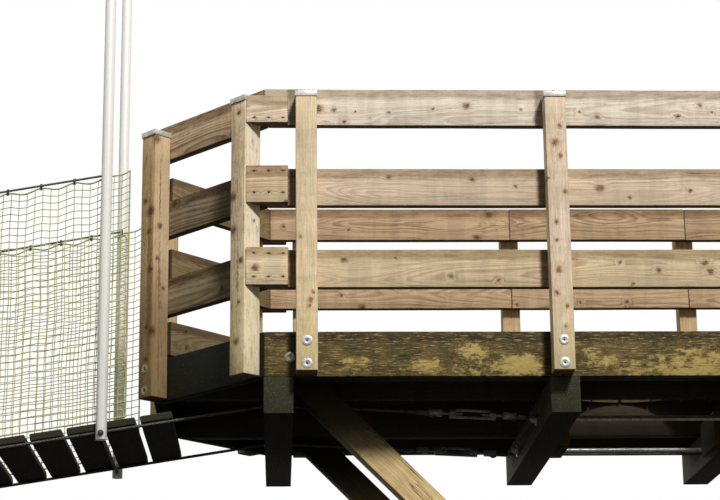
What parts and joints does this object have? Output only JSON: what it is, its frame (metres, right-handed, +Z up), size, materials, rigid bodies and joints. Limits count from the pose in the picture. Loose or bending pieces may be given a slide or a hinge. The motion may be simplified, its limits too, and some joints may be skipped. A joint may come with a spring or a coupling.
{
  "type": "treetop platform",
  "caption": "Timber platform clamped round a tree, with post-and-rail guards, knee braces and cables, and the start of a plank hanging bridge with nets.",
  "frame": {"origin": "centre of the flat face by which the front clamp beam bears on the trunk", "axes": "+Z up, +X to the right along the front rail, +Y from the front to the back, out of that face"},
  "size_m": [5.485, 2.0136, 3.7119],
  "materials": {
    "deck_board": "sawn, weathered",
    "joist_timber": "sawn, damp",
    "bearer_timber": "sawn, algae on the end grain",
    "fascia_timber": "sawn, mossy",
    "rail_timber": "planed, weathered",
    "post_timber": "planed, weathered",
    "brace_timber": "sawn",
    "plank_timber": "sawn, damp",
    "galvanised": "dull galvanised",
    "cable_steel": "galvanised strand",
    "white_sleeve": "smooth",
    "net_rope": "twisted rope"
  },
  "bodies": {
    "root": {"deck_left": "deck_board", "deck_middle": "deck_board", "deck_right": "deck_board", "joists": "joist_timber", "rim_joists": "joist_timber", "bearer_left_outer": "bearer_timber", "bearer_left_inner": "bearer_timber", "bearer_right_inner": "bearer_timber", "bearer_right_outer": "bearer_timber", "fascia_front": "fascia_timber", "fascia_back": "fascia_timber", "fascia_left": "fascia_timber", "fascia_right": "fascia_timber", "fascia_corners_left": "fascia_timber", "fascia_corners_right": "fascia_timber", "rails_front": "rail_timber", "rails_back": "rail_timber", "rails_front_left": "rail_timber", "rails_back_left": "rail_timber", "rails_front_right": "rail_timber", "rails_back_right": "rail_timber", "posts_front": "post_timber", "posts_back": "post_timber", "posts_front_left": "post_timber", "posts_back_left": "post_timber", "posts_front_right": "post_timber", "posts_back_right": "post_timber", "post_caps": "galvanised", "splice_blocks_front": "rail_timber", "splice_blocks_back": "rail_timber", "braces_front": "brace_timber", "braces_back": "brace_timber", "clamp_beam_front": "brace_timber", "clamp_beam_back": "brace_timber", "trunk_blocks": "brace_timber", "clamp_rods": "galvanised", "cable_front": "cable_steel", "cable_back": "cable_steel", "turnbuckles": "galvanised", "bridge_planks": "plank_timber", "bridge_hanger_front": "white_sleeve", "bridge_hanger_back": "white_sleeve", "bridge_stirrup": "galvanised", "bridge_net_front": "net_rope", "bridge_net_back": "net_rope"}
  },
  "joints": []
}
